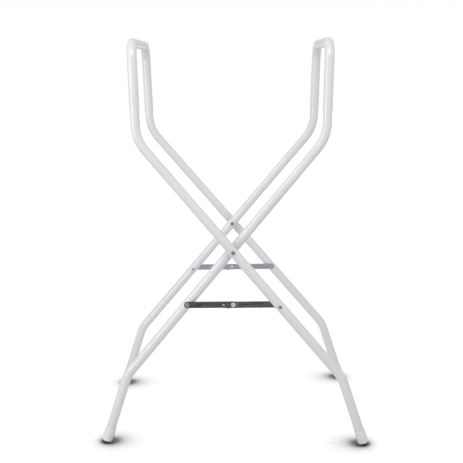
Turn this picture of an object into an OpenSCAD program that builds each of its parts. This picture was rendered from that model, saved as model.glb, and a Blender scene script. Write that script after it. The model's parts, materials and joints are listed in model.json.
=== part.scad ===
// Folding sawhorse: two bent tube frames crossing on a pair of pivots,
// held open by a hinged flat strut at the front and another at the rear.
// Millimetres. +X right, +Y to the rear, +Z up, floor at Z = 0.
// The outer frame carries the left rail, the inner frame the right rail.

/* [Rails] */
// Height of each rail's centre line above the floor
rail_z = 920; // [840:1:1000]
// Distance of each rail's centre line from the middle
rail_x = 219.5; // [190:0.5:250]
// Half the length of the outer frame's rail, between its arms' centre lines
rail_half_depth = 169; // [140:1:200]
// Free gap between the outer and the inner frame's tubes, along Y
layer_gap = 5; // [4:0.1:8]

/* [Bent legs] */
// Length of an arm, from the rail's corner point to the upper bend's
arm_len = 211.3; // [150:0.1:260]
// Length of a diagonal, from the upper bend's corner point to the lower one's
diag_len = 719; // [600:1:800]
// Lean of an arm from upright in the side view, in degrees
arm_tilt = 1.49; // [0:0.01:5]
// Turn from the rail into an arm, in degrees
corner_turn = 87.3704; // [85:0.0001:90]
// Roll between the plane of that corner and the plane of the leg's bends, in degrees
leg_roll = 90.895; // [88:0.001:93]
// Turn of the upper bend, in degrees
knee_turn = 38.6441; // [30:0.0001:45]
// Turn of the lower bend, in degrees
ankle_turn = 22.1054; // [15:0.0001:30]

/* [Tube] */
// Outer diameter of the frame tube
tube_d = 22; // [18:0.5:26]
// Wall thickness of the frame tube
tube_wall = 1.2; // [0.8:0.1:2]
// Centre line radius of the bends between rail and arms
corner_r = 38; // [30:1:60]
// Centre line radius of the upper and lower bends
bend_r = 90; // [60:1:120]

/* [Feet] */
// Outer diameter of a foot cap
cap_d = 25; // [23.5:0.5:30]
// Length of a foot cap along the leg
cap_len = 30; // [20:1:45]
// Thickness of a foot cap's closed end
cap_base = 3; // [2:0.5:6]
// Depth of the worn flat on a foot cap's lowest edge
cap_flat = 0.8; // [0.4:0.1:2]

/* [Pivots] */
// Diameter of the two pivot screws
pivot_d = 5; // [4:0.5:6]
// Diameter of a pivot screw's pan head
pivot_head_d = 10; // [8:0.5:12]
// Height of a pivot screw's pan head
pivot_head_h = 3.4; // [2.5:0.1:4]
// Diameter of the spacer between the frames at a pivot
spacer_d = 18; // [12:1:20]

/* [Struts] */
// Distance of each strut screw from the middle plane
strut_x = 106; // [90:1:120]
// Width of a strut link
link_w = 15; // [12:0.5:20]
// Thickness of a strut link
link_t = 1.5; // [1.2:0.1:1.8]
// Length of the outer link's tongue beyond the hinge rivet
tongue = 20.5; // [14:0.5:30]
// Distance of the detent stud from the hinge rivet
stud_x = 22.5; // [18:0.5:28]
// Diameter of the strut screws
strut_screw_d = 4; // [3:0.5:5]
// Diameter of a strut screw's pan head
strut_head_d = 8; // [7:0.5:10]
// Height of a strut screw's pan head
strut_head_h = 2.6; // [2:0.1:3]
// Diameter of the bright washer under an inner strut screw's head
ring_d = 9.6; // [8.5:0.1:12]
// Diameter of the hinge rivet's head
rivet_head_d = 11; // [8:0.5:13]

/* [Hidden] */
$fn = 64;

tube_r = tube_d / 2;
bore_r = tube_r - tube_wall;
// Fits: fixed parts sit with a hair of room, turning parts with a running fit.
snug = 0.02;
run = 0.05;
bush_t = 0.8;
link_gap = 0.3;

function unit(v) = v / norm(v);
function flip(p) = [p[0], -p[1], p[2]];

// Headings along the outer frame's front half, from the rail down to the foot.
rail_dir = [0, -1, 0];
corner_side = [sin(arm_tilt), 0, -cos(arm_tilt)];
arm_dir = rail_dir * cos(corner_turn) + corner_side * sin(corner_turn);
leg_side = (corner_side * cos(corner_turn) - rail_dir * sin(corner_turn)) * cos(leg_roll)
    + cross(rail_dir, corner_side) * sin(leg_roll);
diag_dir = arm_dir * cos(knee_turn) + leg_side * sin(knee_turn);
ankle_side = arm_dir * sin(knee_turn) - leg_side * cos(knee_turn);
leg_dir = diag_dir * cos(ankle_turn) + ankle_side * sin(ankle_turn);

// Corner points of the same half, and where the leg's axis meets the floor.
corner_at = [-rail_x, -rail_half_depth, rail_z];
knee_at = corner_at + arm_dir * arm_len;
ankle_at = knee_at + diag_dir * diag_len;
leg_len = -ankle_at[2] / leg_dir[2];
foot_at = ankle_at + leg_dir * leg_len;

// Distance from a diagonal's axis to its surface, measured along Y.
face = tube_r / sqrt(1 - pow(diag_dir[1], 2));
nest = 2 * face + layer_gap;
// Moves a point of the outer frame's front to the inner frame's layer, not yet mirrored.
function nested(p, inset) = [p[0], p[1] + inset, p[2]];
// The point of the outer front diagonal at a given distance from the middle.
function on_diag(x) = knee_at + diag_dir * ((x - knee_at[0]) / diag_dir[0]);

// Pivot and strut screw stations on the long diagonal, with depths from the middle plane.
pivot_z = on_diag(0)[2];
pivot_depth = -on_diag(0)[1];
strut_z = on_diag(strut_x)[2];
strut_depth = -on_diag(strut_x)[1];
strut_face = strut_depth - face;

// Layers of a strut, as depths measured from the middle plane.
outer_link_out = strut_face - bush_t;
outer_link_in = outer_link_out - link_t;
inner_link_out = outer_link_in - link_gap;
inner_link_in = inner_link_out - link_t;
inner_tube_out = strut_face - layer_gap;
inner_tube_in = inner_tube_out - 2 * face;

// Places a child drawn along +Z so that it runs from p towards q.
module aim(p, q) {
    w = unit(q - p);
    ref = abs(w[1]) > 0.9 ? [1, 0, 0] : [0, 1, 0];
    u = unit(cross(ref, w));
    v = cross(w, u);
    multmatrix([
        [u[0], v[0], w[0], p[0]],
        [u[1], v[1], w[1], p[1]],
        [u[2], v[2], w[2], p[2]],
        [0, 0, 0, 1]
    ]) children();
}

module ring(ro, ri) {
    difference() {
        circle(r = ro);
        circle(r = ri);
    }
}

// A tube is a chain: each run or bend starts at the origin heading along +Z,
// and moves its children on to its own end, so that the pieces meet face to face.
module run_on(len) {
    linear_extrude(height = len)
        ring(tube_r, bore_r);
    translate([0, 0, len]) children();
}

// Turns the heading towards +X by an angle, about a centre r away.
module bend_on(r, turn) {
    far = r + tube_d;
    translate([r, 0, 0]) {
        intersection() {
            rotate([90, 0, 180])
                rotate_extrude(angle = turn + 12)
                    translate([r, 0])
                        ring(tube_r, bore_r);
            rotate([0, turn, 0])
                translate([-far, -tube_d, -far])
                    cube([far, 2 * tube_d, far]);
        }
        rotate([0, turn, 0])
            translate([-r, 0, 0]) children();
    }
}

function trim(r, turn) = r * tan(turn / 2);

// One half of a bent frame tube, from the middle of the rail to the front foot.
module half_hairpin(inset) {
    t1 = trim(corner_r, corner_turn);
    t2 = trim(bend_r, knee_turn);
    t3 = trim(bend_r, ankle_turn);
    y = cross(rail_dir, corner_side);
    multmatrix([
        [corner_side[0], y[0], rail_dir[0], -rail_x],
        [corner_side[1], y[1], rail_dir[1], 0],
        [corner_side[2], y[2], rail_dir[2], rail_z],
        [0, 0, 0, 1]
    ])
        run_on(rail_half_depth - inset - t1)
        bend_on(corner_r, corner_turn)
        rotate([0, 0, leg_roll])
        run_on(arm_len - t1 - t2)
        bend_on(bend_r, knee_turn)
        rotate([0, 0, 180])
        run_on(diag_len - t2 - t3)
        bend_on(bend_r, ankle_turn)
        run_on(leg_len - t3 - cap_lift - cap_base - 0.1);
}

// One bent frame tube: foot, leg, diagonal, arm, rail and back down again.
module hairpin(inset) {
    union() {
        half_hairpin(inset);
        mirror([0, 1, 0]) half_hairpin(inset);
    }
}

// A hole or shank along Y between two depths, on the front side.
module post(x, z, from, to, r) {
    translate([x, -from, z])
        rotate([90, 0, 0])
            cylinder(h = to - from, r = r);
}

module hex_post(x, z, from, to, af) {
    translate([x, -from, z])
        rotate([90, 0, 0])
            cylinder(h = to - from, r = af / sqrt(3), $fn = 6);
}

// Rear parts are the front ones turned over the middle plane.
module rear() {
    mirror([0, 1, 0]) children();
}

// Solid copy of a front diagonal, used to shape saddles against it.
module saddle(inset) {
    aim(nested(knee_at, inset), nested(ankle_at, inset))
        cylinder(h = diag_len, r = tube_r + snug);
}

module both_sides() {
    children();
    rear() children();
}

module outer_tube() {
    color("#e4e2e8")
        difference() {
            hairpin(0);
            both_sides()
                post(0, pivot_z, pivot_depth - 15, pivot_depth + 15, pivot_d / 2 + run);
            both_sides()
                post(strut_x, strut_z, strut_depth - 15, strut_depth + 15,
                    strut_screw_d / 2 + run);
        }
}

module inner_tube() {
    color("#e4e2e8")
        mirror([1, 0, 0])
            difference() {
                hairpin(nest);
                both_sides()
                    post(0, pivot_z, pivot_depth - nest - 15, pivot_depth - nest + 15,
                        pivot_d / 2 + run);
                both_sides()
                    post(strut_x, strut_z, strut_depth - nest - 15,
                        strut_depth - nest + 15, strut_screw_d / 2 + run);
            }
}

// How far above its axis' floor point a cap's flat end lies, along the leg.
cap_lift = (sqrt(1 - pow(leg_dir[2], 2)) * cap_d / 2 - cap_flat) / -leg_dir[2];

module cap(inset) {
    ro = cap_d / 2;
    difference() {
        aim(nested(foot_at - leg_dir * cap_lift, inset), nested(ankle_at, inset))
            rotate_extrude()
                polygon([
                    [0, 0],
                    [ro - 1.2, 0],
                    [ro - 0.35, 0.35],
                    [ro, 1.2],
                    [ro, cap_len - 1],
                    [ro - 0.6, cap_len],
                    [tube_r + run, cap_len],
                    [tube_r + run, cap_base],
                    [0, cap_base]
                ]);
        translate(foot_at + [0, inset, -25])
            cube([80, 80, 50], center = true);
    }
}

module outer_cap_front() {
    color("#e6e6ea") cap(0);
}

module outer_cap_rear() {
    color("#e6e6ea") rear() cap(0);
}

module inner_cap_front() {
    color("#e6e6ea") mirror([1, 0, 0]) cap(nest);
}

module inner_cap_rear() {
    color("#e6e6ea") rear() mirror([1, 0, 0]) cap(nest);
}

// Pan head drawn on +Z from its bearing face, with a cross recess.
module pan_head(d, h) {
    ball = (d * d / 4 + h * h) / (2 * h) * 1.12;
    difference() {
        intersection() {
            cylinder(h = h, r = d / 2);
            translate([0, 0, h - ball])
                sphere(r = ball);
        }
        translate([0, 0, h])
            cube([d * 0.52, d * 0.12, h * 1.1], center = true);
        translate([0, 0, h])
            cube([d * 0.12, d * 0.52, h * 1.1], center = true);
    }
}

// A screw along Y whose head bears at depth head_at and tip ends at depth tip_at.
module screw(x, z, head_at, tip_at, d, head_d, head_h) {
    union() {
        post(x, z, tip_at, head_at + 0.2, d / 2);
        translate([x, -head_at, z])
            rotate([90, 0, 0])
                rotate([0, 0, 20])
                    pan_head(head_d, head_h);
    }
}

pivot_out = pivot_depth + face + 0.25;
pivot_in = pivot_depth - nest - face - 0.3;

module pivot_screw() {
    screw(0, pivot_z, pivot_out, pivot_in - 5.2, pivot_d, pivot_head_d, pivot_head_h);
}

module pivot_screw_front() {
    color("#c9cbd1") pivot_screw();
}

module pivot_screw_rear() {
    color("#c9cbd1") rear() pivot_screw();
}

// Cap nut: a hexagon with a dome, closed over the screw's end.
module pivot_nut() {
    difference() {
        union() {
            hex_post(0, pivot_z, pivot_in - 4, pivot_in, 8);
            translate([0, -(pivot_in - 3.8), pivot_z])
                rotate([90, 0, 0])
                    intersection() {
                        sphere(r = 3.9);
                        translate([0, 0, -2])
                            cube([10, 10, 4], center = true);
                    }
        }
        post(0, pivot_z, pivot_in - 5.3, pivot_in + 1, pivot_d / 2 + snug);
    }
}

module pivot_nut_front() {
    color("#8f9096") pivot_nut();
}

module pivot_nut_rear() {
    color("#8f9096") rear() pivot_nut();
}

// Spacer fixed to the outer frame; its outer side is hollowed to the tube.
module pivot_spacer() {
    difference() {
        post(0, pivot_z, pivot_depth - face - layer_gap + 0.7, pivot_depth - face + 1.6,
            spacer_d / 2);
        saddle(0);
        post(0, pivot_z, pivot_depth - 40, pivot_depth, pivot_d / 2 + run);
    }
}

module pivot_spacer_front() {
    color("#3a3b3f") pivot_spacer();
}

module pivot_spacer_rear() {
    color("#3a3b3f") rear() pivot_spacer();
}

// Outer strut screw: head outside the outer frame, nut inside the link.
module outer_strut_screw() {
    screw(strut_x, strut_z, strut_depth + face + 0.2, outer_link_in - 3.6,
        strut_screw_d, strut_head_d, strut_head_h);
}

module outer_strut_screw_front() {
    color("#c9cbd1") outer_strut_screw();
}

module outer_strut_screw_rear() {
    color("#c9cbd1") rear() outer_strut_screw();
}

module outer_strut_nut() {
    difference() {
        union() {
            hex_post(strut_x, strut_z, outer_link_in - 3.2, outer_link_in - 0.1, 7);
            post(strut_x, strut_z, outer_link_in - 3.9, outer_link_in - 3, 3.1);
        }
        post(strut_x, strut_z, outer_link_in - 5, outer_link_in + 1,
            strut_screw_d / 2 + snug);
    }
}

module outer_strut_nut_front() {
    color("#b4b6bc") outer_strut_nut();
}

module outer_strut_nut_rear() {
    color("#b4b6bc") rear() outer_strut_nut();
}

module outer_strut_bush() {
    difference() {
        post(strut_x, strut_z, outer_link_out + 0.05, strut_face + 1.2, 5.5);
        saddle(0);
        post(strut_x, strut_z, strut_face - 10, strut_face + 10,
            strut_screw_d / 2 + run);
    }
}

module outer_strut_bush_front() {
    color("#d6d7db") outer_strut_bush();
}

module outer_strut_bush_rear() {
    color("#d6d7db") rear() outer_strut_bush();
}

// Inner strut screw: head and washer outside the link, nut inside the inner frame.
module inner_strut_screw() {
    screw(-strut_x, strut_z, inner_link_out + 0.85, inner_tube_in - 3.8,
        strut_screw_d, strut_head_d, strut_head_h);
}

module inner_strut_screw_front() {
    color("#c9cbd1") inner_strut_screw();
}

module inner_strut_screw_rear() {
    color("#c9cbd1") rear() inner_strut_screw();
}

module inner_strut_ring() {
    difference() {
        post(-strut_x, strut_z, inner_link_out + 0.05, inner_link_out + 0.8, ring_d / 2);
        post(-strut_x, strut_z, inner_link_out - 1, inner_link_out + 2,
            strut_screw_d / 2 + snug);
    }
}

module inner_strut_ring_front() {
    color("#d9dade") inner_strut_ring();
}

module inner_strut_ring_rear() {
    color("#d9dade") rear() inner_strut_ring();
}

module inner_strut_nut() {
    difference() {
        union() {
            hex_post(-strut_x, strut_z, inner_tube_in - 3.4, inner_tube_in - 0.2, 7);
            post(-strut_x, strut_z, inner_tube_in - 4.1, inner_tube_in - 3.2, 3.1);
        }
        post(-strut_x, strut_z, inner_tube_in - 6, inner_tube_in + 1,
            strut_screw_d / 2 + snug);
    }
}

module inner_strut_nut_front() {
    color("#b4b6bc") inner_strut_nut();
}

module inner_strut_nut_rear() {
    color("#b4b6bc") rear() inner_strut_nut();
}

module inner_strut_bush() {
    difference() {
        post(-strut_x, strut_z, inner_tube_out - 1.2, inner_link_in - 0.05, 5.5);
        mirror([1, 0, 0]) saddle(nest);
        post(-strut_x, strut_z, inner_tube_out - 10, inner_tube_out + 10,
            strut_screw_d / 2 + run);
    }
}

module inner_strut_bush_front() {
    color("#d6d7db") inner_strut_bush();
}

module inner_strut_bush_rear() {
    color("#d6d7db") rear() inner_strut_bush();
}

// A flat bar with rounded ends in the XZ plane, between two depths.
module bar(x0, x1, from, to) {
    r = link_w / 2;
    translate([0, -from, strut_z])
        rotate([90, 0, 0])
            linear_extrude(height = to - from)
                union() {
                    translate([x0, -r])
                        square([x1 - x0, link_w]);
                    translate([x0, 0])
                        circle(r = r);
                    translate([x1, 0])
                        circle(r = r);
                }
}

// Outer link: turns on the outer frame, passes the hinge and ends in a tongue
// with a bent lug that stops against the inner link's lower edge.
module outer_link() {
    r = link_w / 2;
    difference() {
        union() {
            bar(-tongue, strut_x, outer_link_in, outer_link_out);
            translate([-14, -outer_link_out, strut_z - r - 1.7])
                cube([5, link_t, 2.2]);
            translate([-14, -outer_link_out, strut_z - r - 1.7])
                cube([5, outer_link_out - inner_link_in + 0.4, 1.6]);
        }
        post(strut_x, strut_z, outer_link_in - 1, outer_link_out + 1,
            strut_screw_d / 2 + run);
        post(0, strut_z, outer_link_in - 1, outer_link_out + 1, 2.5 + snug);
        post(-stud_x, strut_z, outer_link_in - 1, outer_link_out + 1, 1.2 + snug);
    }
}

module outer_link_front() {
    color("#7c7e88") outer_link();
}

module outer_link_rear() {
    color("#7c7e88") rear() outer_link();
}

// Inner link: turns on the inner frame, with a dimple that takes the detent.
module inner_link() {
    difference() {
        bar(-strut_x, 0, inner_link_in, inner_link_out);
        post(-strut_x, strut_z, inner_link_in - 1, inner_link_out + 1,
            strut_screw_d / 2 + run);
        post(0, strut_z, inner_link_in - 1, inner_link_out + 1, 2.5 + snug);
        post(-stud_x, strut_z, inner_link_out - 0.6, inner_link_out + 1, 1.7);
    }
}

module inner_link_front() {
    color("#7c7e88") inner_link();
}

module inner_link_rear() {
    color("#7c7e88") rear() inner_link();
}

// Low dome on +Z, flat face at Z = 0.
module dome(d, h) {
    ball = (d * d / 4 + h * h) / (2 * h);
    intersection() {
        cylinder(h = h + 1, r = d / 2);
        translate([0, 0, h - ball])
            sphere(r = ball);
    }
}

module rivet_head() {
    union() {
        post(0, strut_z, outer_link_in + 0.02, outer_link_out + 0.3, 2.5);
        post(0, strut_z, outer_link_out + 0.02, outer_link_out + 0.5, rivet_head_d / 2);
        translate([0, -(outer_link_out + 0.5), strut_z])
            rotate([90, 0, 0])
                dome(rivet_head_d, 1.9);
    }
}

module rivet_head_front() {
    color("#d2d3d8") rivet_head();
}

module rivet_head_rear() {
    color("#d2d3d8") rear() rivet_head();
}

module rivet_tail() {
    union() {
        post(0, strut_z, inner_link_in - 0.3, inner_link_out - 0.02, 2.5);
        post(0, strut_z, inner_link_in - 0.5, inner_link_in - 0.02, 4.2);
        translate([0, -(inner_link_in - 0.5), strut_z])
            rotate([-90, 0, 0])
                dome(8.4, 1.2);
    }
}

module rivet_tail_front() {
    color("#d2d3d8") rivet_tail();
}

module rivet_tail_rear() {
    color("#d2d3d8") rear() rivet_tail();
}

module detent_stud() {
    union() {
        post(-stud_x, strut_z, outer_link_in - 0.12, outer_link_out + 0.2, 1.2);
        translate([-stud_x, -(outer_link_out + 0.02), strut_z])
            rotate([90, 0, 0])
                dome(4.4, 0.9);
    }
}

module detent_stud_front() {
    color("#d2d3d8") detent_stud();
}

module detent_stud_rear() {
    color("#d2d3d8") rear() detent_stud();
}

outer_tube();
inner_tube();
outer_cap_front();
outer_cap_rear();
inner_cap_front();
inner_cap_rear();
pivot_screw_front();
pivot_screw_rear();
pivot_nut_front();
pivot_nut_rear();
pivot_spacer_front();
pivot_spacer_rear();
outer_strut_screw_front();
outer_strut_screw_rear();
outer_strut_nut_front();
outer_strut_nut_rear();
outer_strut_bush_front();
outer_strut_bush_rear();
inner_strut_screw_front();
inner_strut_screw_rear();
inner_strut_ring_front();
inner_strut_ring_rear();
inner_strut_nut_front();
inner_strut_nut_rear();
inner_strut_bush_front();
inner_strut_bush_rear();
outer_link_front();
outer_link_rear();
inner_link_front();
inner_link_rear();
rivet_head_front();
rivet_head_rear();
rivet_tail_front();
rivet_tail_rear();
detent_stud_front();
detent_stud_rear();
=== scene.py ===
"""Looks of the folding sawhorse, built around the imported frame.

Two bent tube frames, their foot caps and their screws, nuts, rivets and flat
struts are finished here. Lengths are metres. Front parts lie at negative Y and
rear parts at positive Y; a depth is a distance from the middle plane, outwards.
"""

import json
import math

import bmesh
import bpy
import numpy as np
from mathutils import Matrix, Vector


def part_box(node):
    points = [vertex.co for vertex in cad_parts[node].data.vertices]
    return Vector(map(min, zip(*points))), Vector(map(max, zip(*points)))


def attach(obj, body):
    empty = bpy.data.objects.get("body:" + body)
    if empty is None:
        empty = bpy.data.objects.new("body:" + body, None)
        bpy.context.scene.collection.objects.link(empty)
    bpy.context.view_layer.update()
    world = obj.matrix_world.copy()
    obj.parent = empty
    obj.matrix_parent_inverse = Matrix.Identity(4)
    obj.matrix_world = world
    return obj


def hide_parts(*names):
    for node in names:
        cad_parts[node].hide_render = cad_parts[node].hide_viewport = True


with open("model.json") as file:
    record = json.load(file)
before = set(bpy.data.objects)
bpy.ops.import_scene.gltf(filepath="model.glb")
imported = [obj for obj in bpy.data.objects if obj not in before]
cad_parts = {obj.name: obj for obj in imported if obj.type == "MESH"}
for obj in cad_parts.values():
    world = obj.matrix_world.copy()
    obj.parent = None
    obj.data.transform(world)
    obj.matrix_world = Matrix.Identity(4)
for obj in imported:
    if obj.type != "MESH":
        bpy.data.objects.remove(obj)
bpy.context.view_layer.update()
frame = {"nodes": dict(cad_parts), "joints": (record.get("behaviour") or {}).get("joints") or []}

MM = 0.001
FRONT, REAR = -1.0, 1.0
SIDES = (("front", FRONT), ("rear", REAR))

# ---------------------------------------------------------------- frame facts
JOINT_AT = {j["name"]: j["pos_m"] for j in frame["joints"]}
PIVOT_Z = JOINT_AT["fold"][2]
STRUT_X = JOINT_AT["outer_link_pivot_front"][0]
STRUT_Z = JOINT_AT["outer_link_pivot_front"][2]

TUBE_R = 11 * MM
TUBE_BORE = 9.8 * MM
RAIL_X = -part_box("outer_tube")[0].x - round(TUBE_R, 6)
RAIL_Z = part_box("outer_tube")[1].z - round(TUBE_R, 6)
RAIL_HALF = 169 * MM
ARM_LEN = 211.3 * MM
DIAGONAL_LEN = 719 * MM
LAYER_GAP = 5 * MM
CORNER_R = 38 * MM
BEND_R = 90 * MM
ARM_LEAN = math.radians(1.49)
CORNER_TURN = math.radians(87.3704)
LEG_ROLL = math.radians(90.895)
KNEE_TURN = math.radians(38.6441)
ANKLE_TURN = math.radians(22.1054)
CAP_R = 12.5 * MM
CAP_LEN = 30 * MM
CAP_BASE = 3 * MM
CAP_FLAT = 0.8 * MM
PIVOT_HOLE_R = 2.55 * MM
STRUT_HOLE_R = 2.05 * MM


def unit(v):
    """A vector divided by its own length."""
    v = np.asarray(v, float)
    return v / np.linalg.norm(v)


# Headings along the outer frame's front half, from the rail down to the foot.
RAIL_DIR = np.array([0.0, -1.0, 0.0])
CORNER_SIDE = np.array([math.sin(ARM_LEAN), 0.0, -math.cos(ARM_LEAN)])
ARM_DIR = RAIL_DIR * math.cos(CORNER_TURN) + CORNER_SIDE * math.sin(CORNER_TURN)
LEG_SIDE = (
    CORNER_SIDE * math.cos(CORNER_TURN) - RAIL_DIR * math.sin(CORNER_TURN)
) * math.cos(LEG_ROLL) + np.cross(RAIL_DIR, CORNER_SIDE) * math.sin(LEG_ROLL)
DIAGONAL_DIR = ARM_DIR * math.cos(KNEE_TURN) + LEG_SIDE * math.sin(KNEE_TURN)
ANKLE_SIDE = ARM_DIR * math.sin(KNEE_TURN) - LEG_SIDE * math.cos(KNEE_TURN)
LEG_DIR = DIAGONAL_DIR * math.cos(ANKLE_TURN) + ANKLE_SIDE * math.sin(ANKLE_TURN)

CORNER_AT = np.array([-RAIL_X, -RAIL_HALF, RAIL_Z])
KNEE_AT = CORNER_AT + ARM_DIR * ARM_LEN
ANKLE_AT = KNEE_AT + DIAGONAL_DIR * DIAGONAL_LEN
LEG_LEN = -ANKLE_AT[2] / LEG_DIR[2]
FOOT_AT = ANKLE_AT + LEG_DIR * LEG_LEN
TUBE_FACE = TUBE_R / math.sqrt(1 - DIAGONAL_DIR[1] ** 2)
NEST = 2 * TUBE_FACE + LAYER_GAP
CAP_LIFT = (math.sqrt(1 - LEG_DIR[2] ** 2) * CAP_R - CAP_FLAT) / -LEG_DIR[2]


# ------------------------------------------------------------ surface workers
def eased(corners, radii, steps):
    """A polyline with its inner corners rounded. Each corner gives way to an arc
    of its own radius that touches both sides: the arc's centre lies on the
    bisector, and its points are that centre plus the radius turned from one
    side's normal to the other's."""
    corners = [np.asarray(c, float) for c in corners]
    out = [corners[0]]
    for before, here, after, radius, count in zip(
        corners, corners[1:], corners[2:], radii, steps
    ):
        if radius <= 0:
            out.append(here)
            continue
        going, leaving = unit(here - before), unit(after - here)
        turn = math.acos(max(-1.0, min(1.0, float(going @ leaving))))
        inward = unit(leaving - going * (going @ leaving))
        start = here - going * radius * math.tan(turn / 2)
        angle = np.linspace(0.0, turn, count + 1)[:, None]
        out.extend(
            start + radius * (going * np.sin(angle) + inward * (1 - np.cos(angle)))
        )
    out.append(corners[-1])
    return np.array(out)


def skin(name, grid, looped=False):
    """A closed mesh from a grid of points: rows of one loop each. The rows are
    joined by four-sided faces, the loops close on themselves, and the first and
    last row either join each other or run to a pole at their own middle. The
    faces are turned outwards by the sign of the volume they enclose."""
    rows, around = grid.shape[:2]
    points = grid.reshape(-1, 3)
    i = np.arange(rows if looped else rows - 1)[:, None]
    j = np.arange(around)[None, :]
    k, m = (i + 1) % rows, (j + 1) % around
    quads = np.stack(
        [i * around + j, i * around + m, k * around + m, k * around + j], -1
    ).reshape(-1, 4)
    tris = np.empty((0, 3), int)
    if not looped:
        ring = np.arange(around)
        low, high = len(points), len(points) + 1
        points = np.vstack([points, grid[0].mean(0), grid[-1].mean(0)])
        last = (rows - 1) * around
        step = (ring + 1) % around
        tris = np.vstack(
            [
                np.stack([step, ring, np.full(around, low)], -1),
                np.stack([last + ring, last + step, np.full(around, high)], -1),
            ]
        )
    split = np.vstack([quads[:, [0, 1, 2]], quads[:, [0, 2, 3]], tris])
    a, b, c = (points[split[:, n]] for n in range(3))
    if np.einsum("ij,ij->i", a, np.cross(b, c)).sum() < 0:
        quads, tris = quads[:, ::-1], tris[:, ::-1]
    mesh = bpy.data.meshes.new(name)
    mesh.from_pydata(points.tolist(), [], quads.tolist() + tris.tolist())
    mesh.update()
    piece = bpy.data.objects.new(name, mesh)
    bpy.context.scene.collection.objects.link(piece)
    return piece


def smoothed(piece, sharp_over=32, weighted=True):
    """Smooth shading, kept crisp where faces meet at more than an angle."""
    mesh = piece.data
    mesh.polygons.foreach_set("use_smooth", np.ones(len(mesh.polygons), bool))
    mesh.set_sharp_from_angle(angle=math.radians(sharp_over))
    if weighted:
        normals = piece.modifiers.new("flat faces stay flat", "WEIGHTED_NORMAL")
        normals.keep_sharp = True
    return piece


def mirrored_x(points):
    """The same points on the other side of the plane X = 0."""
    return points * np.array([-1.0, 1.0, 1.0])


def mirrored_y(points):
    """The same points on the other side of the plane Y = 0."""
    return points * np.array([1.0, -1.0, 1.0])


def carried(path, across, around):
    """A circle carried along a path of points. At each station the circle lies
    square to the mean of the two sides that meet there, and it is turned so
    that its first spoke stays nearest to the direction named by across."""
    step = np.diff(path, axis=0)
    step /= np.linalg.norm(step, axis=1)[:, None]
    along = np.vstack([step[:1], step[1:] + step[:-1], step[-1:]])
    along /= np.linalg.norm(along, axis=1)[:, None]
    spoke = across - along * (along @ across)[:, None]
    spoke /= np.linalg.norm(spoke, axis=1)[:, None]
    other = np.cross(along, spoke)
    angle = np.linspace(0, 2 * math.pi, around, endpoint=False)
    circle = (
        spoke[:, None] * np.cos(angle)[None, :, None]
        + other[:, None] * np.sin(angle)[None, :, None]
    )
    return path[:, None], circle


def drilled(piece, holes, reach):
    """A copy of the piece's mesh with round holes along Y cut through it. Each
    hole is (x, middle depth with its sign, z, radius)."""
    tools = []
    for x, y, z, radius in holes:
        angle = np.linspace(0, 2 * math.pi, 40, endpoint=False)
        ends = np.array([y - reach, y + reach])[:, None]
        x_row, z_row = x + radius * np.cos(angle), z + radius * np.sin(angle)
        grid = np.stack(
            np.broadcast_arrays(x_row[None, :], ends, z_row[None, :]), axis=-1
        )
        tool = skin("hole_tool", grid)
        tools.append(tool)
        cut = piece.modifiers.new("hole", "BOOLEAN")
        cut.operation, cut.solver, cut.object = "DIFFERENCE", "EXACT", tool
    ready = piece.evaluated_get(bpy.context.evaluated_depsgraph_get())
    mesh = bpy.data.meshes.new_from_object(ready)
    piece.modifiers.clear()
    piece.data = mesh
    for tool in tools:
        bpy.data.objects.remove(tool)
    return piece


def turned(profile, around):
    """A profile of (radius, depth) points turned about an axis along Y: arrays
    of the radius, the depth and the angle at every point of the grid."""
    profile = np.asarray(profile, float)
    angle = np.linspace(0, 2 * math.pi, around, endpoint=False)
    radius = np.repeat(profile[:, 0][:, None], around, 1)
    depth = np.repeat(profile[:, 1][:, None], around, 1)
    return radius, depth, np.repeat(angle[None, :], len(profile), 0)


def refined(profile, stops):
    """A profile with more points at the given distances along it, where the
    distances are worked out from the profile's length by a function."""
    gaps = np.linalg.norm(np.diff(profile, axis=0), axis=1)
    at = np.concatenate([[0.0], np.cumsum(gaps)])
    fine = np.union1d(at, stops(at[-1]))
    return np.stack([np.interp(fine, at, profile[:, k]) for k in (0, 1)], -1)


def stood(x, z, side, radius, depth, angle):
    """Places a turned grid about the line through (x, z) along Y, on one side."""
    return np.stack(
        [x + radius * np.cos(angle), side * depth, z + radius * np.sin(angle)], -1
    )


def depths(node):
    """The nearest and farthest depth of a CAD node from the middle plane."""
    low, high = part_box(node)
    return tuple(sorted((abs(low.y), abs(high.y))))


def smooth_step(x):
    """0 below 0, 1 above 1, and an even curve between."""
    x = np.clip(x, 0.0, 1.0)
    return x * x * (3 - 2 * x)


# ------------------------------------------------------------------ materials
def link(tree, value, socket):
    """Feeds a socket from another socket, or sets it to a plain value."""
    if hasattr(value, "is_output"):
        tree.links.new(value, socket)
    else:
        socket.default_value = value


def shader_group(name, inputs, outputs):
    """An empty shader group with named sockets: (name, kind, default)."""
    tree = bpy.data.node_groups.new(name, "ShaderNodeTree")
    for label, kind, value in inputs:
        socket = tree.interface.new_socket(label, in_out="INPUT", socket_type=kind)
        socket.default_value = value
    for label, kind in outputs:
        tree.interface.new_socket(label, in_out="OUTPUT", socket_type=kind)
    return tree, tree.nodes.new("NodeGroupInput"), tree.nodes.new("NodeGroupOutput")


def node(tree, kind, **settings):
    made = tree.nodes.new(kind)
    for key, value in settings.items():
        setattr(made, key, value)
    return made


def object_place(tree):
    return node(tree, "ShaderNodeTexCoord").outputs["Object"]


def noise(tree, vector, scale, detail=3.0, roughness=0.55):
    made = node(tree, "ShaderNodeTexNoise")
    link(tree, detail, made.inputs["Detail"])
    link(tree, roughness, made.inputs["Roughness"])
    link(tree, scale, made.inputs["Scale"])
    link(tree, vector, made.inputs["Vector"])
    return made.outputs["Fac"]


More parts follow.
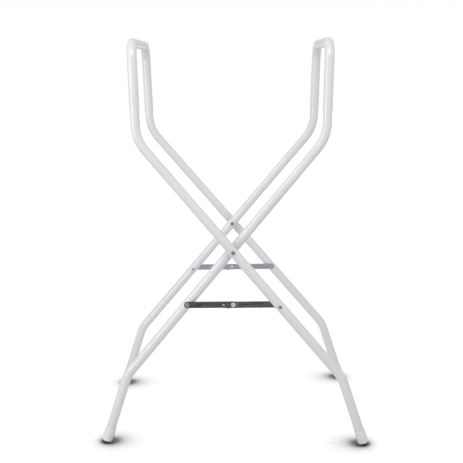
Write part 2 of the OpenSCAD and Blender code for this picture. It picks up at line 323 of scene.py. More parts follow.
def ranged(tree, value, low, high, to_low=0.0, to_high=1.0, smooth=True):
    """A value stretched from one span to another, eased or straight."""
    made = node(tree, "ShaderNodeMapRange")
    made.interpolation_type = "SMOOTHSTEP" if smooth else "LINEAR"
    link(tree, value, made.inputs["Value"])
    link(tree, low, made.inputs["From Min"])
    link(tree, high, made.inputs["From Max"])
    link(tree, to_low, made.inputs["To Min"])
    link(tree, to_high, made.inputs["To Max"])
    return made.outputs["Result"]


def worked(tree, operation, first, second):
    """The result of one sum on two values."""
    made = node(tree, "ShaderNodeMath", operation=operation)
    link(tree, first, made.inputs[0])
    link(tree, second, made.inputs[1])
    return made.outputs[0]


def mixed(tree, share, first, second):
    """A colour part of the way from the first to the second."""
    made = node(tree, "ShaderNodeMix", data_type="RGBA")
    link(tree, share, made.inputs["Factor"])
    link(tree, first, made.inputs[6])
    link(tree, second, made.inputs[7])
    return made.outputs[2]


def skin_group(name, own_inputs):
    """A group that is given two tones and two roughnesses, besides its own
    inputs, and gives a colour, a roughness and a height."""
    return shader_group(
        name,
        [
            ("Tone A", "NodeSocketColor", (1, 1, 1, 1)),
            ("Tone B", "NodeSocketColor", (1, 1, 1, 1)),
            *own_inputs,
            ("Roughness Low", "NodeSocketFloat", 0.3),
            ("Roughness High", "NodeSocketFloat", 0.4),
        ],
        [
            ("Color", "NodeSocketColor"),
            ("Roughness", "NodeSocketFloat"),
            ("Height", "NodeSocketFloat"),
        ],
    )


def settled(tree, given, out, share, height):
    """Lets one share pick the tone and the roughness between their two ends."""
    tone = mixed(tree, share, given.outputs["Tone A"], given.outputs["Tone B"])
    link(tree, tone, out.inputs["Color"])
    rough = node(tree, "ShaderNodeMix", data_type="FLOAT")
    link(tree, share, rough.inputs["Factor"])
    link(tree, given.outputs["Roughness Low"], rough.inputs[2])
    link(tree, given.outputs["Roughness High"], rough.inputs[3])
    link(tree, rough.outputs[0], out.inputs["Roughness"])
    link(tree, height, out.inputs["Height"])


def grain_group():
    """Fine skin of a sprayed or moulded surface: a slow drift between two tones,
    a roughness that drifts with it, and a height of close, rounded grains."""
    tree, given, out = skin_group(
        "surface grain",
        [
            ("Drift Scale", "NodeSocketFloat", 18.0),
            ("Grain Scale", "NodeSocketFloat", 900.0),
        ],
    )
    place = object_place(tree)
    drift = noise(tree, place, given.outputs["Drift Scale"], 4.0)
    grains = noise(tree, place, given.outputs["Grain Scale"], 2.0, 0.4)
    settled(tree, given, out, ranged(tree, drift, 0.35, 0.65), grains)
    return tree


def rolled_group():
    """Rolled strip and drawn wire: tone and roughness streak along X, crossed by
    a few blotches, with a height from the same streaks."""
    tree, given, out = skin_group(
        "rolled streaks", [("Streaks", "NodeSocketFloat", 1.0)]
    )
    place = object_place(tree)
    stretch = node(tree, "ShaderNodeMapping")
    stretch.inputs["Scale"].default_value = (26.0, 300.0, 620.0)
    link(tree, place, stretch.inputs["Vector"])
    streaks = noise(tree, stretch.outputs["Vector"], given.outputs["Streaks"], 5.0, 0.6)
    blotch = noise(tree, place, 70.0, 3.0)
    total = worked(
        tree,
        "ADD",
        worked(tree, "MULTIPLY", streaks, 0.7),
        worked(tree, "MULTIPLY", blotch, 0.3),
    )
    settled(tree, given, out, ranged(tree, total, 0.36, 0.64), streaks)
    return tree


def edge_group():
    """A mask of the proud edges and the hollows of a fine mesh, broken up by a
    close noise, from how sharply the surface turns."""
    tree, given, out = shader_group(
        "rubbed edges",
        [("Amount", "NodeSocketFloat", 1.0)],
        [("Proud", "NodeSocketFloat"), ("Hollow", "NodeSocketFloat")],
    )
    turn = node(tree, "ShaderNodeNewGeometry").outputs["Pointiness"]
    broken = ranged(tree, noise(tree, object_place(tree), 1400.0), 0.3, 0.7, 0.55, 1.0)
    proud = worked(tree, "MULTIPLY", ranged(tree, turn, 0.52, 0.60), broken)
    # The hollow mask marks where the metal's colour is darkened as painted shade.
    hollow_shade = ranged(tree, turn, 0.48, 0.40)
    amount = given.outputs["Amount"]
    link(tree, worked(tree, "MULTIPLY", proud, amount), out.inputs["Proud"])
    link(tree, worked(tree, "MULTIPLY", hollow_shade, amount), out.inputs["Hollow"])
    return tree


GRAIN, ROLLED, EDGES = grain_group(), rolled_group(), edge_group()


def placed_group(tree, group, **values):
    made = node(tree, "ShaderNodeGroup", node_tree=group)
    for label, value in values.items():
        made.inputs[label.replace("_", " ")].default_value = value
    return made


def started(name):
    material = bpy.data.materials.new(name)
    material.use_nodes = True
    tree = material.node_tree
    tree.nodes.clear()
    shader = node(tree, "ShaderNodeBsdfPrincipled")
    finish = node(tree, "ShaderNodeOutputMaterial")
    link(tree, shader.outputs["BSDF"], finish.inputs["Surface"])
    return material, tree, shader


def bumped(tree, shader, height, distance, strength=1.0):
    bump = node(tree, "ShaderNodeBump")
    bump.inputs["Distance"].default_value = distance
    bump.inputs["Strength"].default_value = strength
    link(tree, height, bump.inputs["Height"])
    link(tree, bump.outputs["Normal"], shader.inputs["Normal"])


COAT_IOR = 1.7


def coated(name, tone_a, tone_b, drift, grain, rough, bump, coat=0.0, coat_rough=0.1):
    """A sprayed or moulded skin over the grain group."""
    material, tree, shader = started(name)
    skin_of = placed_group(
        tree,
        GRAIN,
        Tone_A=(*tone_a, 1),
        Tone_B=(*tone_b, 1),
        Drift_Scale=drift,
        Grain_Scale=grain,
        Roughness_Low=rough[0],
        Roughness_High=rough[1],
    )
    link(tree, skin_of.outputs["Color"], shader.inputs["Base Color"])
    link(tree, skin_of.outputs["Roughness"], shader.inputs["Roughness"])
    shader.inputs["Coat Weight"].default_value = coat
    shader.inputs["Coat Roughness"].default_value = coat_rough
    shader.inputs["Coat IOR"].default_value = COAT_IOR
    bumped(tree, shader, skin_of.outputs["Height"], bump)
    return material


def metal(name, tone_a, tone_b, worn, streaks, rough, bump, hollow_shade=0.35, edge=1.0):
    """Bare or plated metal: rolled streaks, brighter where edges are rubbed, and darker in
    hollows as painted shade."""
    material, tree, shader = started(name)
    rolled = placed_group(
        tree,
        ROLLED,
        Tone_A=(*tone_a, 1),
        Tone_B=(*tone_b, 1),
        Streaks=streaks,
        Roughness_Low=rough[0],
        Roughness_High=rough[1],
    )
    edges = placed_group(tree, EDGES, Amount=edge)
    rubbed = mixed(tree, edges.outputs["Proud"], rolled.outputs["Color"], (*worn, 1))
    # Painted shade: the hollows are darkened to a share of the first tone.
    painted_hollow_shade = (*[c * hollow_shade for c in tone_a], 1)
    tone = mixed(tree, edges.outputs["Hollow"], rubbed, painted_hollow_shade)
    link(tree, tone, shader.inputs["Base Color"])
    link(tree, rolled.outputs["Roughness"], shader.inputs["Roughness"])
    shader.inputs["Metallic"].default_value = 1.0
    bumped(tree, shader, rolled.outputs["Height"], bump)
    return material


POWDER_COAT = coated(
    "white powder coat",
    (0.79, 0.78, 0.802),
    (0.775, 0.765, 0.785),
    9.0,
    820.0,
    (0.30, 0.36),
    0.000006,
    coat=0.9,
    coat_rough=0.12,
)
CAP_PLASTIC = coated(
    "white cap plastic",
    (0.85, 0.84, 0.855),
    (0.82, 0.81, 0.825),
    60.0,
    2600.0,
    (0.42, 0.5),
    0.00003,
)
SPACER_PLASTIC = coated(
    "dark spacer plastic",
    (0.05, 0.05, 0.055),
    (0.035, 0.035, 0.04),
    80.0,
    2200.0,
    (0.45, 0.55),
    0.00004,
)
BUSH_PLASTIC = coated(
    "pale bush plastic",
    (0.62, 0.62, 0.63),
    (0.55, 0.55, 0.56),
    80.0,
    2200.0,
    (0.4, 0.5),
    0.00003,
)
# The front and rear straps are the same steel: the front copy is darkened as painted shade, the
# rear copy lightened as a painted bright reflection.
SHADED_FRONT_STRAP = metal(
    "strap steel with painted shade, front",
    (0.05, 0.051, 0.066),
    (0.20, 0.202, 0.23),
    (0.6, 0.61, 0.65),
    1.0,
    (0.36, 0.5),
    0.00006,
    edge=0.3,
)
LIT_REAR_STRAP = metal(
    "strap steel with painted reflection, rear",
    (0.40, 0.405, 0.44),
    (0.52, 0.525, 0.56),
    (0.7, 0.7, 0.73),
    1.0,
    (0.36, 0.5),
    0.00006,
    edge=0.3,
)
ZINC = metal(
    "bright zinc steel",
    (0.60, 0.61, 0.63),
    (0.72, 0.73, 0.75),
    (0.92, 0.92, 0.93),
    1.4,
    (0.2, 0.3),
    0.00002,
)
# The cross recess of the screws is painted nearly black as painted shade.
SCREW_STEEL = metal(
    "screw steel",
    (0.27, 0.275, 0.29),
    (0.40, 0.405, 0.42),
    (0.92, 0.92, 0.94),
    1.4,
    (0.18, 0.28),
    0.00002,
    hollow_shade=0.02,
)
NUT_STEEL = metal(
    "dark nut steel",
    (0.16, 0.165, 0.18),
    (0.26, 0.265, 0.28),
    (0.6, 0.6, 0.62),
    1.2,
    (0.25, 0.36),
    0.00003,
)


def finished(piece, body, nodes, material):
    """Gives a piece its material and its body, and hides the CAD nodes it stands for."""
    piece.data.materials.clear()
    piece.data.materials.append(material)
    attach(piece, body)
    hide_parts(*nodes)
    return piece


# --------------------------------------------------------------- frame tubes
TUBE_AROUND = 56
HOLE_MARGIN = 9 * MM


def half_path(inset):
    """One half of a bent tube's centre line, from its front foot to the middle
    of its rail: straight runs between the corner points, eased by the bends."""
    shift = np.array([0.0, inset, 0.0])
    foot_end = FOOT_AT - LEG_DIR * (CAP_LIFT + CAP_BASE + 0.1 * MM) + shift
    ankle, knee, corner = (p + shift for p in (ANKLE_AT, KNEE_AT, CORNER_AT))
    along = [
        knee + DIAGONAL_DIR * ((x - knee[0]) / DIAGONAL_DIR[0]) for x in (0.0, STRUT_X)
    ]
    margins = (HOLE_MARGIN, -HOLE_MARGIN)
    marks = [p + DIAGONAL_DIR * m for p in along[::-1] for m in margins]
    cap_mouth = FOOT_AT - LEG_DIR * (CAP_LIFT + CAP_LEN + 1 * MM) + shift
    corners = [foot_end, cap_mouth, ankle, *marks, knee, corner, [-RAIL_X, 0, RAIL_Z]]
    radii = [0, BEND_R, 0, 0, 0, 0, BEND_R, CORNER_R]
    return eased(corners, radii, [1, 10, 1, 1, 1, 1, 16, 22])


def frame_tube(name, body, cad_node, inset, flip):
    """A tube wall as one closed skin: the outer circle carried from one foot to
    the other, then the bore's circle carried back, joined at both mouths."""
    half = half_path(inset)
    path = np.vstack([half, mirrored_y(half[:-1])[::-1]])
    if flip:
        path = mirrored_x(path)
    centre, circle = carried(path, np.array([1.0, 0.0, 0.0]), TUBE_AROUND)
    wall = np.vstack([centre + circle * TUBE_R, (centre + circle * TUBE_BORE)[::-1]])
    piece = skin(name, wall, looped=True)
    sign = -1.0 if flip else 1.0
    holes = []
    for side in (FRONT, REAR):
        for x, z, radius in (
            (0.0, PIVOT_Z, PIVOT_HOLE_R),
            (STRUT_X, STRUT_Z, STRUT_HOLE_R),
        ):
            depth = -(KNEE_AT + DIAGONAL_DIR * ((x - KNEE_AT[0]) / DIAGONAL_DIR[0]))[1]
            holes.append((sign * x, side * (depth - inset), z, radius))
    drilled(piece, holes, 15 * MM)
    smoothed(piece, 40, weighted=False)
    return finished(piece, body, [cad_node], POWDER_COAT)


frame_tube("outer_frame_tube", "outer_frame", "outer_tube", 0.0, False)
frame_tube("inner_frame_tube", "inner_frame", "inner_tube", NEST, True)


# ------------------------------------------------------------------ foot caps
def foot_cap(name, body, cad_node, inset, flip, side):
    """A moulded sleeve turned about the leg's axis, with a dished sole, rounded
    edges, a shallow grip line and an open mouth, then pressed flat on the floor:
    any point that would fall below the floor is lifted on to it."""
    lip, bore = CAP_R - 0.25 * MM, TUBE_R + 0.05 * MM
    corners = [
        (0.02 * MM, 0.5 * MM),
        (6.2 * MM, 0.5 * MM),
        (7.0 * MM, 0.0),
        (CAP_R - 0.1 * MM, 0.0),
        (CAP_R, 5.2 * MM),
        (CAP_R - 0.3 * MM, 5.5 * MM),
        (CAP_R - 0.3 * MM, 6.1 * MM),
        (CAP_R - 0.05 * MM, 6.4 * MM),
        (lip, CAP_LEN),
        (bore, CAP_LEN),
        (bore, CAP_BASE),
        (0.02 * MM, CAP_BASE),
    ]
    radii = np.array([0.4, 0.3, 1.1, 0.2, 0.1, 0.1, 0.2, 0.8, 0.3, 0.3]) * MM
    profile = eased(corners, radii, [3, 3, 8, 3, 2, 2, 3, 6, 3, 3])
    profile = refined(profile, lambda length: np.arange(0.0, length, 0.9 * MM))
    axis = -LEG_DIR
    spoke = unit(np.array([1.0, 0, 0]) - axis * axis[0])
    other = np.cross(axis, spoke)
    angle = np.linspace(0, 2 * math.pi, 72, endpoint=False)[None, :, None]
    radius, rise = profile[:, 0][:, None, None], profile[:, 1][:, None, None]
    start = FOOT_AT - LEG_DIR * CAP_LIFT + np.array([0.0, inset, 0.0])
    grid = start + axis * rise + radius * (spoke * np.cos(angle) + other * np.sin(angle))
    grid[..., 2] = np.maximum(grid[..., 2], 0.0)
    if flip:
        grid = mirrored_x(grid)
    if side == REAR:
        grid = mirrored_y(grid)
    piece = smoothed(skin(name, grid), 40)
    return finished(piece, body, [cad_node], CAP_PLASTIC)


FOOT_CAPS = [
    foot_cap(
        f"{half}_foot_cap_{word}",
        f"{half}_frame",
        f"{half}_cap_{word}",
        inset,
        flip,
        side,
    )
    for word, side in SIDES
    for half, inset, flip in (("outer", 0.0, False), ("inner", NEST, True))
]


# --------------------------------------------------------- screws, nuts, rivets
HEAD_TURN = math.radians(20)
# Thread radius, thread pitch and head height of the two screw sizes.
PIVOT_SCREW = (2.5 * MM, 0.8 * MM, 3.4 * MM)
STRUT_SCREW = (2.0 * MM, 0.7 * MM, 2.6 * MM)
NUT_BORE_R = 2.02 * MM
RIVET_SHANK_R = 2.5 * MM


def pan_screw(name, body, cad_node, x, z, side, thread_r, pitch, head_h):
    """A pan head screw turned about its own axis. The head's crown is a low arc
    with a rounded rim; a cross recess is sunk into it by the distance inside a
    plus sign; the far end of the shank has a thread, a triangle wave that winds
    once around in each pitch."""
    tip, top = depths(cad_node)
    low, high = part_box(cad_node)
    head_r = (high.x - low.x) / 2
    seat = top - head_h
    thread_end = tip + 9 * MM
    thread_rows = np.linspace(tip + 0.5 * MM, thread_end, int(8.5 * MM / pitch * 7))
    shank = [(0.02 * MM, tip), (thread_r * 0.45, tip), (thread_r - 0.55 * MM, tip)]
    shank += [(thread_r, d) for d in thread_rows]
    head = eased(
        [
            (thread_r, seat - 1 * MM),
            (thread_r, seat),
            (head_r, seat),
            (head_r, seat + head_h * 0.62),
            (head_r * 0.5, top),
            (0.02 * MM, top),
        ],
        np.array([0.15 * MM, 0.25 * MM, head_h * 0.42, head_r * 1.2]),
        [3, 3, 9, 10],
    )
    head = refined(head, lambda length: np.linspace(length - head_r * 0.95, length, 30))
    profile = np.vstack([shank, head])
    radius, depth, angle = turned(profile, 96)
    wave = np.abs(((depth / pitch - angle / (2 * math.pi)) % 1.0) * 2 - 1)
    threaded = smooth_step((thread_end - depth) / (1 * MM)) * (depth > tip + 0.2 * MM)
    radius = radius - threaded * wave * pitch * 0.55
    a, b = radius * np.cos(angle - HEAD_TURN), radius * np.sin(angle - HEAD_TURN)
    long_arm, half_arm = head_r * 0.6, head_r * 0.17
    inside = np.maximum(
        np.minimum(long_arm - np.abs(a), half_arm - np.abs(b)),
        np.minimum(half_arm - np.abs(a), long_arm - np.abs(b)),
    )
    sunk = smooth_step((inside + 0.1 * MM) / (0.3 * MM)) * (depth > seat + head_h * 0.4)
    bowl = 1 - 0.45 * np.clip(radius / long_arm, 0, 1) ** 2
    depth = depth - sunk * bowl * head_h * 0.62
    piece = smoothed(skin(name, stood(x, z, side, radius, depth, angle)), 50)
    return finished(piece, body, [cad_node], SCREW_STEEL)


def hexagon(angle, flat):
    """The radius of a hexagon of half width flat, at each angle."""
    sector = (angle + math.pi / 6) % (math.pi / 3) - math.pi / 6
    return flat / np.cos(sector)


def lock_nut(name, body, cad_node, x, z, side):
    """A hexagon whose corners are cut by a cone at both faces, with a thin
    collar on top: at each point the radius is the least of the hexagon's and of
    the turned profile's. The bore joins the last row to the first."""
    inner, outer = depths(cad_node)
    bore, flat, collar = NUT_BORE_R, 3.5 * MM, 3.1 * MM
    corner = flat / math.cos(math.pi / 6)
    seat, face, end = outer, outer - 3.1 * MM, inner
    corners = [
        (bore, seat),
        (flat * 0.98, seat),
        (corner, seat - 0.55 * MM),
        (corner, face + 0.55 * MM),
        (flat * 0.98, face),
        (collar, face),
        (collar, end),
        (bore + 0.3 * MM, end),
        (bore, end + 0.3 * MM),
    ]
    radii = np.array([0.15, 0.1, 0.1, 0.15, 0.2, 0.35, 0.1]) * MM
    profile = eased(corners, radii, [2, 2, 2, 2, 3, 4, 2])
    radius, depth, angle = turned(profile, 96)
    radius = np.minimum(radius, hexagon(angle, flat))
    grid = stood(x, z, side, radius, depth, angle)
    piece = smoothed(skin(name, grid, looped=True), 30)
    return finished(piece, body, [cad_node], ZINC)


def cap_nut(name, body, cad_node, x, z, side):
    """A hexagon base and a domed crown over a blind bore: from the bore's end
    out of its mouth, over the seat, up the cut corners and over the dome."""
    crown, seat = depths(cad_node)
    flat = 4.0 * MM
    corner = flat / math.cos(math.pi / 6)
    bore = 2.52 * MM
    shoulder = seat - 4.0 * MM
    dome_r = 3.75 * MM
    arc = np.linspace(0, math.pi / 2, 14)[1:]
    dome = [
        (dome_r * math.cos(t) + 0.01 * MM, shoulder - (shoulder - crown) * math.sin(t))
        for t in arc
    ]
    corners = [
        (0.02 * MM, seat - 5.2 * MM),
        (bore, seat - 5.2 * MM),
        (bore, seat),
        (flat * 0.98, seat),
        (corner, seat - 0.6 * MM),
        (corner, shoulder + 0.7 * MM),
        (dome_r, shoulder),
    ]
    radii = np.array([0.1, 0.2, 0.15, 0.1, 0.2]) * MM
    profile = np.vstack([eased(corners, radii, [2, 2, 2, 2, 3]), dome])
    radius, depth, angle = turned(profile, 96)
    radius = np.minimum(radius, hexagon(angle, flat))
    piece = smoothed(skin(name, stood(x, z, side, radius, depth, angle)), 30)
    return finished(piece, body, [cad_node], NUT_STEEL)


def washer(name, body, cad_node, x, z, side):
    """A flat ring with rounded rims, its bore joining the last row to the first."""
    inner, outer = depths(cad_node)
    low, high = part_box(cad_node)
    bore, rim = NUT_BORE_R, (high.x - low.x) / 2
    corners = [
        (bore, (inner + outer) / 2),
        (bore, outer),
        (rim, outer),
        (rim, inner),
        (bore, inner),
        (bore, (inner + outer) / 2 - 0.01 * MM),
    ]
    radii = np.array([0.12, 0.3, 0.15, 0.12]) * MM
    profile = eased(corners, radii, [3, 5, 3, 3])
    radius, depth, angle = turned(profile, 72)
    grid = stood(x, z, side, radius, depth, angle)
    piece = smoothed(skin(name, grid, looped=True), 45)
    return finished(piece, body, [cad_node], ZINC)


def rivet_half(name, body, cad_node, x, z, side, rim, shank, outward, dish):
    """Half of a rivet: a shank and a head whose crown swells to a rolled ring
    and sinks to a dish in the middle, by a raised cosine of the radius."""
    near, far = depths(cad_node)
    root, top = (near, far) if outward else (far, near)
    way = 1.0 if outward else -1.0
    crown = 2.2 * MM if dish > 0.5 * MM else 1.6 * MM
    lip = 0.35 * MM
    seat = top - way * crown
    steps = np.linspace(0, 1, 40)
    swell = np.sqrt(np.clip(1 - (steps * 0.985) ** 2.6, 0, 1))
    sink = dish * 0.5 * (1 + np.cos(np.pi * np.clip(steps / 0.62, 0, 1)))
    crown_rows = [
        (max(rim * s, 0.02 * MM), seat + way * (lip + (crown - lip) * w - d))
        for s, w, d in zip(steps, swell, sink)
    ][::-1]
    corners = [
        (0.02 * MM, root),
        (shank, root),
        (shank, seat),
        (rim * 0.94, seat),
        (rim, seat + way * 0.2 * MM),
    ]
    low_rows = eased(corners, np.array([0.2, 0.08, 0.12]) * MM, [2, 2, 2])
    profile = np.vstack([low_rows, crown_rows])
    radius, depth, angle = turned(profile, 80)
    piece = smoothed(skin(name, stood(x, z, side, radius, depth, angle)), 50)
    return finished(piece, body, [cad_node], ZINC)


STUD_X = (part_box("detent_stud_front")[0].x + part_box("detent_stud_front")[1].x) / 2

for word, side in SIDES:
    link_body, tail_body = f"outer_link_body_{word}", f"inner_link_body_{word}"
    pivot_at = (0.0, PIVOT_Z, side)
    hinge_at = (0.0, STRUT_Z, side)
    pan_screw(
        f"pivot_pan_screw_{word}", "outer_frame", f"pivot_screw_{word}",
        *pivot_at, *PIVOT_SCREW,
    )
    cap_nut(f"pivot_cap_nut_{word}", "outer_frame", f"pivot_nut_{word}", *pivot_at)
    strut_ends = (("outer", STRUT_X), ("inner", -STRUT_X))
    for half, x in strut_ends:
        pan_screw(
            f"{half}_strut_pan_screw_{word}", f"{half}_frame",
            f"{half}_strut_screw_{word}", x, STRUT_Z, side, *STRUT_SCREW,
        )
    for half, x in strut_ends:
        lock_nut(
            f"{half}_strut_lock_nut_{word}", f"{half}_frame",
            f"{half}_strut_nut_{word}", x, STRUT_Z, side,
        )
    washer(
        f"inner_strut_washer_{word}", "inner_frame", f"inner_strut_ring_{word}",
        -STRUT_X, STRUT_Z, side,
    )
    rivet_half(
        f"hinge_rivet_head_{word}", link_body, f"rivet_head_{word}",
        *hinge_at, 5.5 * MM, RIVET_SHANK_R, True, 1.5 * MM,
    )
    rivet_half(
        f"hinge_rivet_tail_{word}", tail_body, f"rivet_tail_{word}",
        *hinge_at, 4.2 * MM, RIVET_SHANK_R, False, 0.3 * MM,
    )
    rivet_half(
        f"tongue_stud_{word}", link_body, f"detent_stud_{word}",
        STUD_X, STRUT_Z, side, 2.2 * MM, 1.2 * MM, True, 0.0,
    )


# ------------------------------------------------------- strut straps, bushes
def merged(piece, distance=1e-6):
    """Joins points that lie on each other and drops faces that have no area."""
    shell = bmesh.new()
    shell.from_mesh(piece.data)
    bmesh.ops.remove_doubles(shell, verts=shell.verts, dist=distance)
    bmesh.ops.dissolve_degenerate(shell, edges=shell.edges, dist=distance / 2)
    shell.to_mesh(piece.data)
    shell.free()
    return piece


def strap_skin(name, x0, x1, inner, outer, z, side, half_width):
    """A flat bar with round ends. The middle line runs from one end's centre to
    the other's; every point is a point of that line plus a share of the half
    width along the line's outward direction, and the share and the depth follow
    the eased edge of a section from the outer face to the inner one."""
    run = np.linspace(x1, x0, 22)[1:-1]
    half_turn = np.linspace(-math.pi / 2, math.pi / 2, 29)
    level = np.full(len(run), math.pi / 2)
    first_end, last_end = np.full(29, x1), np.full(29, x0)
    middle = np.concatenate([first_end, run, last_end, run[::-1]])
    turn = np.concatenate([half_turn, level, half_turn + math.pi, -level])
    section = eased(
        [(0, outer), (half_width, outer), (half_width, inner), (0, inner)],
        [STRAP_EASE] * 2,
        [4, 4],
    )
    flat_edge = half_width - 1.0 * MM
    section = np.vstack([[(flat_edge, outer)], section[1:-1], [(flat_edge, inner)]])
    share, depth = section[:, 0][:, None], section[:, 1][:, None]
    grid = np.stack(
        [
            middle[None, :] + share * np.cos(turn)[None, :],
            np.broadcast_to(side * depth, (len(section), len(turn))),
            z + share * np.sin(turn)[None, :],
        ],
        -1,
    )
    return skin(name, grid)


def stop_lug(side, x, half_long, half_thick, start, edge_z, end):
    """A rectangle with eased corners carried down from the strap's lower edge
    and round a tight bend, to lie under the other strap."""
    path = eased(
        [(start, edge_z + 2 * MM), (start, edge_z - 0.9 * MM), (end, edge_z - 0.9 * MM)],
        [0.85 * MM],
        [8],
    )
    step = np.gradient(path, axis=0)
    step /= np.linalg.norm(step, axis=1)[:, None]
    normal = np.stack([-step[:, 1], step[:, 0]], -1)
    a, c, e = half_long, half_thick, 0.3 * MM
    loop = eased(
        [(0, -c), (a, -c), (a, c), (-a, c), (-a, -c), (0, -c)], [e] * 4, [3] * 4
    )[:-1]
    grid = np.stack(
        [
            x + np.broadcast_to(loop[None, :, 0], (len(path), len(loop))),
            side * (path[:, 0][:, None] + normal[:, 0][:, None] * loop[None, :, 1]),
            path[:, 1][:, None] + normal[:, 1][:, None] * loop[None, :, 1],
        ],
        -1,
    )
    return skin("stop_lug_tool", grid)


def joined_to(piece, other):
    """The union of two closed skins, left in the first."""
    union = piece.modifiers.new("join", "BOOLEAN")
    union.operation, union.solver, union.object = "UNION", "EXACT", other
    ready = piece.evaluated_get(bpy.context.evaluated_depsgraph_get())
    mesh = bpy.data.meshes.new_from_object(ready)
    piece.modifiers.clear()
    piece.data = mesh
    bpy.data.objects.remove(other)
    return piece


def strut_strap(name, body, cad_node, side, word, far_x, near_x, holes, lug):
    """A strut link cut from steel strip: eased edges, drilled ends and, on the
    long link, a tongue with a bent lug that stops the other strap."""
    inner, outer_face = depths(cad_node)
    inner_face = outer_face - STRAP_T if lug else inner
    z = STRUT_Z
    piece = strap_skin(
        name, near_x, far_x, inner_face, outer_face, z, side, STRAP_HALF
    )
    if lug:
        lug_piece = stop_lug(
            side,
            LUG_X,
            LUG_HALF,
            STRAP_T / 2 - 0.01 * MM,
            outer_face - STRAP_T / 2,
            z - STRAP_HALF,
            inner + 0.05 * MM,
        )
        joined_to(piece, lug_piece)
    middle = side * (inner_face + outer_face) / 2
    drilled(piece, [(x, middle, z, r) for x, r in holes], 2 * MM)
    merged(piece)
    smoothed(piece, 40)
    # Front straps take the copy darkened as painted shade, rear straps the copy lightened as a
    # painted reflection.
    material = SHADED_FRONT_STRAP if word == "front" else LIT_REAR_STRAP
    return finished(piece, body, [cad_node], material)


STRAP_HALF = 7.5 * MM
STRAP_T = 1.5 * MM
STRAP_EASE = 0.28 * MM
LUG_HALF = 2.5 * MM
STUD_HOLE_R = 1.22 * MM
RIVET_HOLE_R = 2.52 * MM
LUG_X = -11.5 * MM
TONGUE_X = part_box("outer_link_front")[0].x + STRAP_HALF
for word, side in SIDES:
    strut_strap(
        f"outer_strap_{word}", f"outer_link_body_{word}", f"outer_link_{word}",
        side, word, STRUT_X, TONGUE_X,
        [(STRUT_X, STRUT_HOLE_R), (0.0, RIVET_HOLE_R), (STUD_X, STUD_HOLE_R)],
        True,
    )
    strut_strap(
        f"inner_strap_{word}", f"inner_link_body_{word}", f"inner_link_{word}",
        side, word, 0.0, -STRUT_X,
        [(-STRUT_X, STRUT_HOLE_R), (0.0, RIVET_HOLE_R)],
        False,
    )
    for part, plastic, slot_name in (
        ("pivot_spacer", SPACER_PLASTIC, "dark_spacer_plastic"),
        ("outer_strut_bush", BUSH_PLASTIC, "pale_bush_plastic"),
        ("inner_strut_bush", BUSH_PLASTIC, "pale_bush_plastic"),
    ):
        piece = frame["nodes"][f"{part}_{word}"]
        piece.data.materials.clear()
        piece.data.materials.append(plastic)


# ------------------------------------------------------------- floor and light
def floor():
    """A wide disc under the stand, rings of points out to its rim."""
    rings = np.concatenate([[0.02], np.geomspace(0.1, 14.0, 24)])
    angle = np.linspace(0, 2 * math.pi, 96, endpoint=False)
    grid = np.stack(
        [
            rings[:, None] * np.cos(angle),
            rings[:, None] * np.sin(angle),
            np.full((len(rings), len(angle)), -0.0002),
        ],
        -1,
    )
    low = grid[::-1].copy()
    low[..., 2] -= 0.01
    piece = skin("studio_floor", np.vstack([grid, low]))
    material, tree, shader = started("white studio floor")
    material.cycles.emission_sampling = "NONE"
    skin_of = placed_group(
        tree,
        GRAIN,
        Tone_A=(0.30, 0.30, 0.30, 1),
        Tone_B=(0.298, 0.298, 0.298, 1),
        Drift_Scale=1.5,
        Grain_Scale=60.0,
        Roughness_Low=0.16,
        Roughness_High=0.2,
    )
    # Less light goes from the floor back up to the stand than to the eye.
    seen = node(tree, "ShaderNodeLightPath").outputs["Is Camera Ray"]
    tone = mixed(tree, seen, (0.17, 0.17, 0.172, 1), skin_of.outputs["Color"])
    # Close to a foot, where the floor sees less of the room, its colour is darkened: a painted
    # contact shadow.
    nearby = node(tree, "ShaderNodeAmbientOcclusion", samples=32)
    nearby.inputs["Distance"].default_value = 0.15
    open_floor = ranged(tree, nearby.outputs["AO"], 0.74, 0.975)
    tone = mixed(tree, open_floor, (0.03, 0.03, 0.03, 1), tone)
    link(tree, tone, shader.inputs["Base Color"])
    link(tree, skin_of.outputs["Roughness"], shader.inputs["Roughness"])
    # The floor melts into the white beyond by glowing more with distance.
    reach = node(tree, "ShaderNodeVectorMath", operation="LENGTH")
    link(tree, object_place(tree), reach.inputs[0])
    glow = ranged(tree, reach.outputs["Value"], 0.5, 3.6, smooth=False)
    glow = worked(tree, "MULTIPLY", glow, ranged(tree, seen, 0.0, 1.0, 0.5, 1.0))
    tone = mixed(tree, glow, (0, 0, 0, 1), (1, 1, 1, 1))
    link(tree, tone, shader.inputs["Emission Color"])
    shader.inputs["Emission Strength"].default_value = 0.88
    piece.data.materials.append(material)
    return piece


def stood_at(right, up, back, place):
    """The matrix of a thing at a place, from the three directions it faces."""
    turn = np.eye(4)
    turn[:3] = np.stack([right, up, back, place], 1)
    return Matrix(turn.tolist())


def soft_box(name, at, aim, size, watts, tint, receivers):
    """A rectangular box of light at a place, facing an aim, that lights only the
    things named by its receivers."""
    light = bpy.data.lights.new(name, "AREA")
    light.shape = "RECTANGLE"
    light.size, light.size_y = size
    light.energy = watts
    light.color = tint
    lamp = bpy.data.objects.new(name, light)
    bpy.context.scene.collection.objects.link(lamp)
    back = unit(np.array(at) - np.array(aim))
    side = unit(np.cross([0.0, 1.0, 0.0] if abs(back[2]) > 0.9 else [0.0, 0.0, 1.0], back))
    up = np.cross(back, side)
    lamp.matrix_world = stood_at(side, up, back, at)
    lamp.light_linking.receiver_collection = receivers
    return lamp


def receivers_of(name, ground, state):
    """A set of light receivers with the floor taken in or left out."""
    group = bpy.data.collections.new(name)
    group.objects.link(ground)
    group.collection_objects[0].light_linking.link_state = state
    return group


def caps_only(ground):
    """The foot caps and the floor, the only things that shade the floor."""
    group = bpy.data.collections.new("foot caps")
    group.objects.link(ground)
    for cap in FOOT_CAPS:
        group.objects.link(cap)
    return group


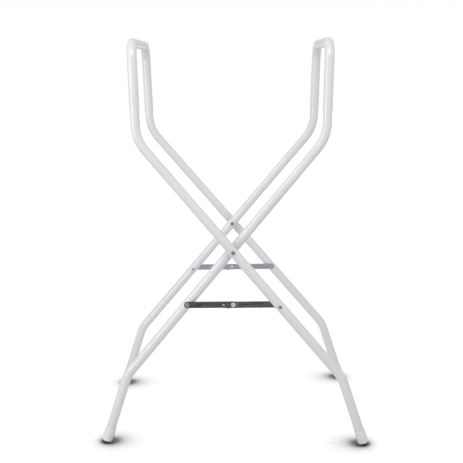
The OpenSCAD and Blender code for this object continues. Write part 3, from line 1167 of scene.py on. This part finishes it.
def lights(ground):
    """A box straight above for the floor; for the stand a box high in front and
    a tall strip at each side; and a white room around them."""
    on_floor = receivers_of("floor only", ground, "INCLUDE")
    on_stand = receivers_of("all but the floor", ground, "EXCLUDE")
    white, warm = (1.0, 1.0, 1.0), (1.0, 0.955, 0.9)
    overhead = soft_box(
        "floor box", (0.0, 0.05, 2.9), (0, 0.05, 0), (1.1, 1.1), 275, white, on_floor
    )
    overhead.light_linking.blocker_collection = caps_only(ground)
    soft_box(
        "high front box", (-0.1, -1.3, 2.1), (0, 0, 0.8), (1.0, 1.0), 9, white, on_stand
    )
    soft_box(
        "left strip box",
        (-1.5, -1.15, 1.15),
        (-0.1, -0.1, 0.75),
        (0.3, 1.7),
        9,
        white,
        on_stand,
    )
    soft_box(
        "right strip box",
        (1.65, -0.9, 1.5),
        (0.1, -0.1, 0.5),
        (0.25, 1.0),
        2.2,
        warm,
        on_stand,
    )
    world = bpy.data.worlds.new("white room")
    bpy.context.scene.world = world
    world.use_nodes = True
    tree = world.node_tree
    tree.nodes.clear()
    seen = node(tree, "ShaderNodeLightPath").outputs["Is Camera Ray"]
    room = node(tree, "ShaderNodeBackground")
    # The room lights the stand less brightly than it shows behind it.
    room.inputs["Color"].default_value = (0.99, 0.98, 0.997, 1)
    room.inputs["Strength"].default_value = 0.67
    backdrop = node(tree, "ShaderNodeBackground")
    backdrop.inputs["Color"].default_value = (1, 1, 1, 1)
    backdrop.inputs["Strength"].default_value = 1.0
    mix = node(tree, "ShaderNodeMixShader")
    link(tree, seen, mix.inputs[0])
    link(tree, room.outputs[0], mix.inputs[1])
    link(tree, backdrop.outputs[0], mix.inputs[2])
    out = node(tree, "ShaderNodeOutputWorld")
    link(tree, mix.outputs[0], out.inputs["Surface"])


def camera():
    """The camera stands in front and looks slightly down: its place, heading,
    dip and roll, and the focal length as a share of the picture's width."""
    place = np.array([-0.01108, -2.08525, 0.87333])
    heading, dip, roll, focal = 0.00424, 0.19353, -0.00801, 854.98 / 463
    level = np.array([math.sin(heading), math.cos(heading), 0.0])
    forward = level * math.cos(dip) - np.array([0.0, 0.0, math.sin(dip)])
    right = np.array([math.cos(heading), -math.sin(heading), 0.0])
    up = np.cross(right, forward)
    turned_right = right * math.cos(roll) + up * math.sin(roll)
    turned_up = -right * math.sin(roll) + up * math.cos(roll)
    lens = bpy.data.cameras.new("studio camera")
    lens.sensor_width, lens.sensor_fit = 36.0, "HORIZONTAL"
    lens.lens = focal * lens.sensor_width
    lens.clip_start, lens.clip_end = 0.05, 60.0
    stand = bpy.data.objects.new("studio camera", lens)
    bpy.context.scene.collection.objects.link(stand)
    stand.matrix_world = stood_at(turned_right, turned_up, -forward, place)
    bpy.context.scene.camera = stand


lights(floor())
camera()
bpy.context.scene.view_settings.view_transform = "Standard"
bpy.context.scene.view_settings.look = "None"

bpy.context.view_layer.update()
